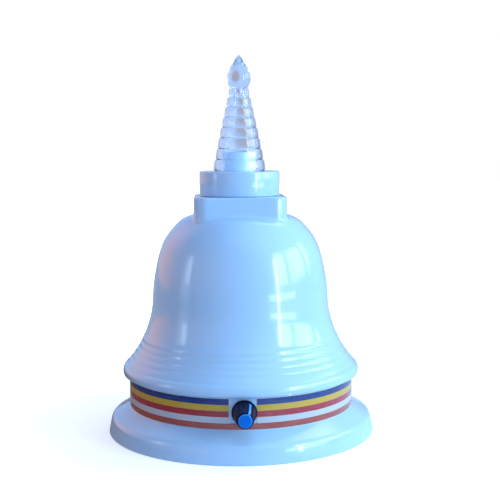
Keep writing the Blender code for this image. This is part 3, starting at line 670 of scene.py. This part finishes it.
# Cord inlet: a bush of soft black rubber with a flange and a bore for a cord. It is pushed into the
# rim of the foot at the back.
INLET_HEIGHT = 0.0062
INLET_CORD_RADIUS = 0.0015
INLET_NECK_RADIUS = 0.0024
INLET_FLANGE_RADIUS = 0.0036
INLET_SEAT = 0.0003
INLET_FLANGE = 0.0011
INLET_NECK_LENGTH = 0.0039
INLET_EDGE_ROUND = 0.00025
INLET_STEPS = 48
RUBBER_DARK = (0.014, 0.015, 0.018, 1)
RUBBER_DUSTY = (0.060, 0.062, 0.068, 1)


def soft_rubber():
    """Matt black rubber with a little pale dust."""
    material, place = new_finish("soft_rubber", {"IOR": 1.45})
    dust = place.noise(scale=700.0, detail=4.0).between(0.45, 0.8)
    grain = place.noise(scale=3000.0)
    vary(
        material,
        {
            "Base Color": dust.mixed(RUBBER_DARK, RUBBER_DUSTY),
            "Roughness": 0.62 + dust * 0.2,
            "Normal": grain.bump(0.00003),
        },
    )
    return material


inlet_outline = [
    (INLET_CORD_RADIUS, INLET_SEAT + INLET_FLANGE),
    (INLET_FLANGE_RADIUS, INLET_SEAT + INLET_FLANGE),
    (INLET_FLANGE_RADIUS, INLET_SEAT),
    (INLET_NECK_RADIUS, INLET_SEAT),
    (INLET_NECK_RADIUS, -INLET_NECK_LENGTH),
    (INLET_CORD_RADIUS, -INLET_NECK_LENGTH),
]
inlet = turned(inlet_outline, INLET_STEPS)
ease_edges(inlet, INLET_EDGE_ROUND)
rim_lean = math.atan2(FOOT_RADIUS - RIM_TOP_RADIUS, RIM_HEIGHT)
inlet_frame = Matrix.Translation((0, FOOT_RADIUS - INLET_HEIGHT * math.tan(rim_lean), INLET_HEIGHT))
inlet_frame = inlet_frame @ Matrix.Rotation(rim_lean - math.radians(90), 4, "X")
bmesh.ops.transform(inlet, matrix=inlet_frame, verts=inlet.verts)
add_piece("inlet_bush", inlet, soft_rubber(), ["cord_inlet"])


# Bottom plate and screws: a flat disc of matt plastic that closes the foot, set flush in its rim. Four
# countersunk, zinc-plated screws with cross recesses go up through it.
PLATE_RADIUS = 0.0821
PLATE_THICKNESS = 0.0024
SCREW_COUNT = 4
SCREW_CIRCLE_RADIUS = 0.0645
SCREW_HEAD_RADIUS = 0.0028
SCREW_HEAD_DEPTH = 0.0016
SCREW_HEAD_SINK = 0.0002
SCREW_SHANK_RADIUS = 0.0013
SCREW_TOP = 0.0120
SINK_PLAY = 0.0003
RECESS_LENGTH = 0.0032
RECESS_WIDTH = 0.0007
RECESS_DEPTH = 0.0009
PLATE_EDGE_ROUND = 0.0003
SCREW_STEPS = 48
SCREW_TURN_RADIANS = 1.0
PLATE_DEEP = (0.400, 0.590, 0.840, 1)
PLATE_PALE = (0.450, 0.650, 0.890, 1)
ZINC_DULL = (0.42, 0.42, 0.44, 1)
ZINC_BRIGHT = (0.68, 0.68, 0.70, 1)


def matt_plastic():
    """The plate's moulding: a fine spark-eroded grain that scatters the light."""
    material, place = new_finish("matt_plastic", {"IOR": 1.5})
    clouds = place.noise(scale=25.0, detail=3.0)
    grain = place.noise(scale=2200.0, detail=3.0)
    vary(
        material,
        {
            "Base Color": clouds.mixed(PLATE_DEEP, PLATE_PALE),
            "Roughness": 0.48 + grain * 0.15,
            "Normal": grain.bump(0.00004),
        },
    )
    return material


def zinc_plate():
    """Zinc plating: cloudy patches, bright and dull, with fine scratches."""
    material, place = new_finish("zinc_plate", {"Metallic": 1.0})
    patches = place.noise(scale=500.0, detail=4.0).between(0.35, 0.7)
    scratches = place.stretched((1.0, 12.0, 1.0)).noise(scale=1800.0)
    vary(
        material,
        {
            "Base Color": patches.mixed(ZINC_DULL, ZINC_BRIGHT),
            "Roughness": 0.26 + patches * 0.18,
            "Normal": scratches.bump(0.00001),
        },
    )
    return material


def cut_away(bm, cutters):
    """The shape with each cutter's shape taken out of it."""
    solid = as_object("solid", bm)
    tools = [as_object("cutter", cutter) for cutter in cutters]
    for tool in tools:
        cut = solid.modifiers.new("cut", "BOOLEAN")
        cut.operation = "DIFFERENCE"
        cut.object = tool
    bpy.context.view_layer.update()
    graph = bpy.context.evaluated_depsgraph_get()
    result = bmesh.new()
    result.from_mesh(solid.evaluated_get(graph).data)
    for used in [solid, *tools]:
        bpy.data.objects.remove(used)
    return result


def screw_spots():
    """The middle of each screw in turn, on the underside of the plate."""
    for index in range(SCREW_COUNT):
        angle = math.radians(360 / SCREW_COUNT * (index + 0.5))
        yield Vector((SCREW_CIRCLE_RADIUS * math.cos(angle), SCREW_CIRCLE_RADIUS * math.sin(angle), 0))


sink_outline = [
    (0, 2 * PLATE_THICKNESS),
    (SCREW_SHANK_RADIUS + SINK_PLAY, 2 * PLATE_THICKNESS),
    (SCREW_SHANK_RADIUS + SINK_PLAY, SCREW_HEAD_SINK + SCREW_HEAD_DEPTH + SINK_PLAY),
    (SCREW_HEAD_RADIUS + SINK_PLAY, SCREW_HEAD_SINK + SINK_PLAY),
    (SCREW_HEAD_RADIUS + SINK_PLAY, -PLATE_THICKNESS),
    (0, -PLATE_THICKNESS),
]
sinks = []
for spot in screw_spots():
    sink = turned(sink_outline, SCREW_STEPS, closed=False)
    bmesh.ops.translate(sink, vec=spot, verts=sink.verts)
    sinks.append(sink)
plate_outline = [(0, PLATE_THICKNESS), (PLATE_RADIUS, PLATE_THICKNESS), (PLATE_RADIUS, 0), (0, 0)]
plate = turned(plate_outline, SHELL_STEPS, closed=False)
ease_edges(plate, PLATE_EDGE_ROUND)
plate = cut_away(plate, sinks)
add_piece("bottom_plate", plate, matt_plastic(), ["base_plate"])

ZINC = zinc_plate()
screw_outline = [
    (0, SCREW_TOP),
    (SCREW_SHANK_RADIUS, SCREW_TOP),
    (SCREW_SHANK_RADIUS, SCREW_HEAD_SINK + SCREW_HEAD_DEPTH),
    (SCREW_HEAD_RADIUS, SCREW_HEAD_SINK + SINK_PLAY),
    (SCREW_HEAD_RADIUS, SCREW_HEAD_SINK),
    (0, SCREW_HEAD_SINK),
]
for number, spot in enumerate(screw_spots(), start=1):
    slots = []
    for length, width in ((RECESS_LENGTH, RECESS_WIDTH), (RECESS_WIDTH, RECESS_LENGTH)):
        slot = bmesh.new()
        bmesh.ops.create_cube(slot, size=1)
        bmesh.ops.scale(slot, vec=(length, width, 2 * RECESS_DEPTH), verts=slot.verts)
        bmesh.ops.translate(slot, vec=(0, 0, SCREW_HEAD_SINK), verts=slot.verts)
        slots.append(slot)
    screw = cut_away(turned(screw_outline, SCREW_STEPS, closed=False), slots)
    left_at = Matrix.Rotation(SCREW_TURN_RADIANS * number, 3, "Z")
    bmesh.ops.rotate(screw, matrix=left_at, verts=screw.verts)
    bmesh.ops.translate(screw, vec=spot, verts=screw.verts)
    add_piece(f"plate_screw_{number}", screw, ZINC, [f"base_screw_{number}"])


# Control: the pot that the knob turns, behind the drum wall, with its washer, nut and steel shaft.
# Only the washer's edge shows, in the shade behind the knob.
for node_name in ("control_body", "control_washer", "control_nut", "control_shaft"):
    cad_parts[node_name].material_slots[0].material = ZINC


# Knob body: tapered grip of black plastic with fine flutes, a plain skirt behind them, and a recess
# in the front for the cap.
KNOB_HEIGHT = 0.0279
KNOB_BACK = 0.0015
KNOB_SKIRT_RADIUS = 0.0075
KNOB_SKIRT_END = 0.0027
KNOB_GRIP_BACK_RADIUS = 0.0072
KNOB_GRIP_FRONT_RADIUS = 0.0052
KNOB_GRIP_FRONT = 0.0184
KNOB_FACE_RADIUS = 0.0046
KNOB_FACE = 0.0200
KNOB_FLUTES = 20
KNOB_FLUTE_DEPTH = 0.0003
KNOB_FLUTE_STEPS = 8
KNOB_FLUTE_POWER = 1.5
KNOB_GRIP_STEPS = 6
KNOB_EDGE_ROUND = 0.00015
KNOB_EDGE_LEAST_DEG = 40
KNOB_RECESS_RADIUS = 0.0066
KNOB_RECESS_END = 0.0055
KNOB_BORE_RADIUS = 0.0033
KNOB_BORE_END = 0.0143
CAP_RADIUS = 0.0040
CAP_PLAY = 0.0002
CAP_SEAT = 0.0189
BLACK_DEEP = (0.000, 0.004, 0.028, 1)
BLACK_GREY = (0.003, 0.014, 0.066, 1)
KNOB_FACING = Matrix.Rotation(math.radians(90), 4, "X")
KNOB_FRAME = Matrix.Translation((0, -DRUM_RADIUS, KNOB_HEIGHT)) @ KNOB_FACING


def satin_black():
    """Satin black moulding with a fine grain, greyed in patches by handling."""
    material, place = new_finish("satin_black", {"IOR": 1.5, "Specular IOR Level": 0.09})
    rubbed = place.noise(scale=600.0, detail=4.0).between(0.45, 0.8)
    grain = place.noise(scale=3500.0)
    vary(
        material,
        {
            "Base Color": rubbed.mixed(BLACK_DEEP, BLACK_GREY),
            "Roughness": 0.30 + rubbed * 0.18,
            "Normal": grain.bump(0.00002),
        },
    )
    return material


grip = []
for step in range(KNOB_GRIP_STEPS + 1):
    share = step / KNOB_GRIP_STEPS
    radius = KNOB_GRIP_FRONT_RADIUS + (KNOB_GRIP_BACK_RADIUS - KNOB_GRIP_FRONT_RADIUS) * share
    grip.append((radius, KNOB_GRIP_FRONT + (KNOB_SKIRT_END - KNOB_GRIP_FRONT) * share))
knob_outline = [
    (0, CAP_SEAT),
    (CAP_RADIUS + CAP_PLAY, CAP_SEAT),
    (CAP_RADIUS + CAP_PLAY, KNOB_FACE),
    (KNOB_FACE_RADIUS, KNOB_FACE),
    *grip,
    (KNOB_SKIRT_RADIUS, KNOB_SKIRT_END),
    (KNOB_SKIRT_RADIUS, KNOB_BACK),
    (KNOB_RECESS_RADIUS, KNOB_BACK),
    (KNOB_RECESS_RADIUS, KNOB_RECESS_END),
    (KNOB_BORE_RADIUS, KNOB_RECESS_END),
    (KNOB_BORE_RADIUS, KNOB_BORE_END),
    (0, KNOB_BORE_END),
]
knob = turned(knob_outline, KNOB_FLUTES * KNOB_FLUTE_STEPS, closed=False)
taper = (KNOB_GRIP_BACK_RADIUS - KNOB_GRIP_FRONT_RADIUS) / (KNOB_GRIP_FRONT - KNOB_SKIRT_END)
for vert in knob.verts:
    radius = vert.co.xy.length
    on_grip = KNOB_GRIP_FRONT_RADIUS + taper * (KNOB_GRIP_FRONT - vert.co.z)
    if abs(radius - on_grip) < SAME_PLACE:
        angle = math.atan2(vert.co.y, vert.co.x)
        dip = KNOB_FLUTE_DEPTH * abs(math.sin(angle * KNOB_FLUTES / 2)) ** KNOB_FLUTE_POWER
        vert.co.xy *= 1 - dip / radius
ease_edges(knob, KNOB_EDGE_ROUND, KNOB_EDGE_LEAST_DEG)
bmesh.ops.transform(knob, matrix=KNOB_FRAME, verts=knob.verts)
add_piece("knob_grip", knob, satin_black(), ["knob_body"], body="knob")


# Knob cap: a blue disc let into the front of the knob, with the raised pointer moulded on it. The
# pointer bends over the edge and runs down the side of the grip.
CAP_TOP = 0.0206
CAP_CROWN = 0.0001
CAP_EDGE = 0.0005
CAP_EDGE_POINTS = 6
# Width of the band at the cap's edge that gets the painted highlight.
CAP_HIGHLIGHT_WIDTH = 0.0006
POINTER_DEG = 28.0
POINTER_START_RADIUS = 0.0034
POINTER_WIDTH = 0.0013
POINTER_END = 0.0065
POINTER_RISE = 0.0007
POINTER_GAP = 0.00005
POINTER_EDGE_ROUND = 0.00012
POINTER_EDGE_LEAST_DEG = 15
CAP_STEPS = 96
BLUE_DEEP = (0.000, 0.130, 0.580, 1)
BLUE_PALE = (0.001, 0.155, 0.640, 1)
# The paler blue below is a painted highlight on the cap's edge and on the pointer past it.
BLUE_PAINTED_HIGHLIGHT = (0.060, 0.340, 0.950, 1)


def satin_blue():
    """Blue moulding with a soft sheen, and a painted highlight of paler blue with a glossy coat round
    the cap's edge and on the pointer past it.
    """
    constants = {"IOR": 1.5, "Specular IOR Level": 0.12, "Coat Roughness": 0.12}
    material, place = new_finish("satin_blue", constants)
    clouds = place.noise(scale=500.0, detail=3.0)
    grain = place.noise(scale=3500.0)
    to_axis = {"Location": (0, 0, -KNOB_HEIGHT), "Scale": (1, 0, 1)}
    off_axis = place.node("ShaderNodeMapping", {}, {"Vector": place, **to_axis})
    radius = off_axis.node("ShaderNodeVectorMath", {"operation": "LENGTH"}, {0: off_axis}, "Value")
    # Painted highlight: the cap's edge and the pointer past it are painted a paler blue and given a
    # glossy coat.
    rim_highlight_and_gloss = radius.between(CAP_RADIUS - CAP_HIGHLIGHT_WIDTH, CAP_RADIUS)
    vary(
        material,
        {
            "Base Color": rim_highlight_and_gloss.mixed(clouds.mixed(BLUE_DEEP, BLUE_PALE), BLUE_PAINTED_HIGHLIGHT),
            "Roughness": 0.34 + clouds * 0.12,
            "Coat Weight": rim_highlight_and_gloss,
            "Normal": grain.bump(0.00002),
        },
    )
    return material


grip_at_end = KNOB_GRIP_FRONT_RADIUS + taper * (KNOB_GRIP_FRONT - POINTER_END)
under = KNOB_FACE + POINTER_GAP
pointer_side = [
    (POINTER_START_RADIUS, under),
    (KNOB_FACE_RADIUS + POINTER_GAP, under),
    (KNOB_GRIP_FRONT_RADIUS + POINTER_GAP, KNOB_GRIP_FRONT),
    (grip_at_end + POINTER_GAP, POINTER_END),
    (grip_at_end + POINTER_GAP + POINTER_RISE / 2, POINTER_END),
    (KNOB_GRIP_FRONT_RADIUS + POINTER_RISE, KNOB_GRIP_FRONT),
    (KNOB_FACE_RADIUS + POINTER_RISE / 2, under + POINTER_RISE / 2),
    (POINTER_START_RADIUS, under + POINTER_RISE / 2),
]
cap = bmesh.new()
outline = [cap.verts.new((0, radius, outward)) for radius, outward in pointer_side]
face = cap.faces.new(outline)
grown = bmesh.ops.extrude_face_region(cap, geom=[face])["geom"]
far_side = [item for item in grown if isinstance(item, bmesh.types.BMVert)]
bmesh.ops.translate(cap, vec=(POINTER_WIDTH, 0, 0), verts=far_side)
bmesh.ops.translate(cap, vec=(-POINTER_WIDTH / 2, 0, 0), verts=cap.verts)
bmesh.ops.recalc_face_normals(cap, faces=cap.faces)
ease_edges(cap, POINTER_EDGE_ROUND, POINTER_EDGE_LEAST_DEG)
bmesh.ops.rotate(cap, matrix=Matrix.Rotation(math.radians(-POINTER_DEG), 3, "Z"), verts=cap.verts)
cap_edge = (CAP_RADIUS - CAP_EDGE, CAP_TOP - CAP_CROWN - CAP_EDGE)
cap_outline = [
    (0, CAP_TOP),
    *arc(cap_edge, (CAP_EDGE, CAP_EDGE), start_deg=90, end_deg=0, count=CAP_EDGE_POINTS),
    (CAP_RADIUS, CAP_SEAT + CAP_PLAY),
    (0, CAP_SEAT + CAP_PLAY),
]
disc = turned(cap_outline, CAP_STEPS, closed=False)
disc_mesh = bpy.data.meshes.new("disc")
disc.to_mesh(disc_mesh)
disc.free()
cap.from_mesh(disc_mesh)
bmesh.ops.transform(cap, matrix=KNOB_FRAME, verts=cap.verts)
add_piece("pointer_cap", cap, satin_blue(), ["knob_cap"], body="knob")


# Floor: a plain pale sheet that glows in the picture, faintly and warm by the model and white further
# out. In the model's gloss it is pale, but for a warm patch close by on the left and a dark patch of
# painted shade just past it. The clear pieces see the room through it.
FLOOR_HALF_WIDTH = 4.0
FLOOR_PALE = (0.90, 0.90, 0.90, 1)
FLOOR_DULL = (0.86, 0.86, 0.87, 1)
FLOOR_BOUNCE = (0.66, 0.68, 0.70, 1)
FLOOR_NEAR = (0.80, 0.84, 0.86, 1)
FLOOR_WARM = (0.26, 0.17, 0.11, 1)
FLOOR_WARM_REACH = (-0.13, -0.02)
FLOOR_SHADE = (0.05, 0.04, 0.035, 1)
FLOOR_SHADE_REACH = (-0.12, 0.08)
FLOOR_SHADE_START = (0.12, 0.30)
FLOOR_SHADE_END = (0.25, 0.80)
FLOOR_GLOW_NEAR = (0.45, 0.42, 0.36, 1)
FLOOR_GLOW_FAR = (1.0, 1.0, 1.0, 1)
FLOOR_FADE = (0.10, 0.30)

bm = bmesh.new()
bmesh.ops.create_grid(bm, x_segments=1, y_segments=1, size=FLOOR_HALF_WIDTH)
floor = as_object("floor", bm)
floor_finish, place = new_finish("pale_floor", {"Emission Strength": 1.0, "Specular IOR Level": 0.0})
speckle = place.noise(scale=40.0, detail=3.0)
reach = place.node("ShaderNodeVectorMath", {"operation": "LENGTH"}, {0: place}, "Value")
vary(
    floor_finish,
    {
        "Base Color": speckle.mixed(FLOOR_PALE, FLOOR_DULL),
        "Roughness": 0.7 + speckle * 0.1,
        "Emission Color": reach.between(*FLOOR_FADE).mixed(FLOOR_GLOW_NEAR, FLOOR_GLOW_FAR),
    },
)
across = place.node("ShaderNodeSeparateXYZ", {}, {"Vector": place}, "X")
near = across.between(*FLOOR_WARM_REACH).mixed(FLOOR_WARM, FLOOR_NEAR)
shade = across.between(*FLOOR_SHADE_REACH).mixed(FLOOR_SHADE, FLOOR_BOUNCE)
shade = reach.between(*FLOOR_SHADE_START).mixed(near, shade)
shade = reach.between(*FLOOR_SHADE_END).mixed(shade, FLOOR_BOUNCE)
bounce = place.node("ShaderNodeBsdfDiffuse", {}, {"Color": shade})
passed = place.node("ShaderNodeBsdfTransparent", {}, {})
through = place.node("ShaderNodeLightPath", {}, {}, "Is Transmission Ray")
unseen = place.node("ShaderNodeMixShader", {}, {0: through, 1: bounce, 2: passed})
seen = place.node("ShaderNodeLightPath", {}, {}, "Is Camera Ray")
pale = Wire(place.tree, place.tree.nodes["Principled BSDF"].outputs["BSDF"])
both = place.node("ShaderNodeMixShader", {}, {0: seen, 1: unseen, 2: pale})
place.tree.links.new(both.socket, place.tree.nodes["Material Output"].inputs["Surface"])
floor.data.materials.append(floor_finish)


# Window: daylight in tall upright panes on the right, a wide low one under them and a narrow bright
# one beside them, and a weak pane and a soft glint on the left. Each pane is a bearing from the front
# in degrees, a width and a radiance, and its span is the heights of its sill and head.
DAYLIGHT = (0.66, 0.90, 1.0)
WINDOW_DISTANCE = 1.0
WINDOW_PANES = ((55.0, 0.26, 7.0), (81.0, 0.46, 5.2), (104.0, 0.12, 5.0))
WINDOW_SPAN = (0.235, 0.650)
LOW_PANE = (53.0, 0.68, 6.8)
LOW_SPAN = (0.06, 0.15)
GLINT = (47.0, 0.060, 17.0)
GLINT_SPAN = (0.02, 0.52)
LEFT_PANE = (-76.0, 0.26, 1.0)
LEFT_SPAN = (0.02, 0.40)
LEFT_GLINT = (-74.0, 0.120, 3.0)
LEFT_GLINT_SPAN = (0.22, 0.52)


def add_pane(name, bearing_deg, width, radiance, span):
    """An upright pane of light at this bearing from the front, facing the model."""
    sill, head = span
    height = head - sill
    light = bpy.data.lights.new(name, "AREA")
    light.shape = "RECTANGLE"
    light.size = width
    light.size_y = height
    light.energy = radiance * math.pi * width * height
    light.color = DAYLIGHT
    pane = bpy.data.objects.new(name, light)
    bpy.context.scene.collection.objects.link(pane)
    bearing = math.radians(bearing_deg)
    spot = Vector((math.sin(bearing), -math.cos(bearing), 0)) * WINDOW_DISTANCE
    turn = (-spot).to_track_quat("-Z", "Y").to_matrix().to_4x4()
    spot.z = (head + sill) / 2
    pane.matrix_world = Matrix.Translation(spot) @ turn
    pane.visible_camera = False


for number, window_pane in enumerate(WINDOW_PANES, start=1):
    add_pane(f"window_pane_{number}", *window_pane, WINDOW_SPAN)
add_pane("low_pane", *LOW_PANE, LOW_SPAN)
add_pane("glint", *GLINT, GLINT_SPAN)
add_pane("left_pane", *LEFT_PANE, LEFT_SPAN)
add_pane("left_glint", *LEFT_GLINT, LEFT_GLINT_SPAN)


# Room: what the gloss and the clear pieces see round the model. It is dim and warm on the left, blue
# in front and behind, and dim on the right, with blue light from overhead and a bright skylight. A
# reach or an edge is where one tone passes into the next, by the direction looked in.
ROOM_LEFT_LOW = (0.14, 0.10, 0.09, 1)
ROOM_LEFT_MID = (0.66, 0.52, 0.54, 1)
ROOM_LEFT_MID_REACH = (-0.15, 0.15)
ROOM_LEFT_HIGH = (0.06, 0.05, 0.06, 1)
ROOM_LEFT_HIGH_REACH = (0.3, 0.8)
ROOM_FRONT = (0.21, 0.45, 0.87, 1)
ROOM_FRONT_REACH = (-0.8, 0.25)
ROOM_RIGHT = (0.14, 0.24, 0.38, 1)
ROOM_RIGHT_REACH = (0.1, 0.9)
ROOM_BACK_LEFT = (1.34, 0.72, 0.50, 1)
ROOM_BACK_LEFT_REACH = (-0.75, -0.35)
ROOM_BACK = (0.43, 0.62, 1.02, 1)
ROOM_BACK_REACH = (0.1, 0.5)
ROOM_BACK_DARK = (0.38, 0.36, 0.44, 1)
ROOM_SPOT_ACROSS = 0.24
ROOM_SPOT_EDGE = (0.015, 0.115)
CEILING = (0.66, 1.12, 1.62, 1)
CEILING_DIRECTION = (0.56, -0.18, 0.809)
CEILING_EDGE = (0.55, 1.0)
SKYLIGHT = (2.4, 2.8, 3.1, 1)
SKYLIGHT_DIRECTION = (0.36, 0.44, 0.823)
SKYLIGHT_EDGE = (0.955, 0.992)
BACKDROP = (1.0, 1.0, 1.0, 1)

world = bpy.data.worlds.new("room")
bpy.context.scene.world = world
world.use_nodes = True
sky = world.node_tree
sky.nodes.clear()
direction = Wire(sky, sky.nodes.new("ShaderNodeTexCoord").outputs["Generated"])
across, back, up = (
    direction.node("ShaderNodeSeparateXYZ", {}, {"Vector": direction}, axis) for axis in "XYZ"
)
left_low_tone = up.between(*ROOM_LEFT_MID_REACH).mixed(ROOM_LEFT_LOW, ROOM_LEFT_MID)
left_tone = up.between(*ROOM_LEFT_HIGH_REACH).mixed(left_low_tone, ROOM_LEFT_HIGH)
through = direction.node("ShaderNodeLightPath", {}, {}, "Is Transmission Ray")
left_tone = through.mixed(left_tone, ROOM_BACK)
left_to_front = across.between(*ROOM_FRONT_REACH).mixed(left_tone, ROOM_FRONT)
front_tone = across.between(*ROOM_RIGHT_REACH).mixed(left_to_front, ROOM_RIGHT)
side_tone = across.between(*ROOM_BACK_LEFT_REACH).mixed(ROOM_BACK_LEFT, ROOM_BACK)
side_tone = through.mixed(side_tone, ROOM_BACK)
off_spot = across - ROOM_SPOT_ACROSS
past_spot = (off_spot * off_spot + up * up).between(*ROOM_SPOT_EDGE)
back_tone = past_spot.mixed(ROOM_BACK_DARK, side_tone)
room_tone = back.between(*ROOM_BACK_REACH).mixed(front_tone, back_tone)
for towards, edge, tone in (
    (CEILING_DIRECTION, CEILING_EDGE, CEILING),
    (SKYLIGHT_DIRECTION, SKYLIGHT_EDGE, SKYLIGHT),
):
    both_ways = {0: direction, 1: towards}
    overhead = direction.node("ShaderNodeVectorMath", {"operation": "DOT_PRODUCT"}, both_ways, "Value")
    room_tone = overhead.between(*edge).mixed(room_tone, tone)
room = direction.node("ShaderNodeBackground", {}, {"Color": room_tone})
backdrop = direction.node("ShaderNodeBackground", {}, {"Color": BACKDROP})
seen = direction.node("ShaderNodeLightPath", {}, {}, "Is Camera Ray")
both = direction.node("ShaderNodeMixShader", {}, {0: seen, 1: room, 2: backdrop})
direction.node("ShaderNodeOutputWorld", {}, {"Surface": both})
bpy.context.scene.view_settings.view_transform = "Standard"
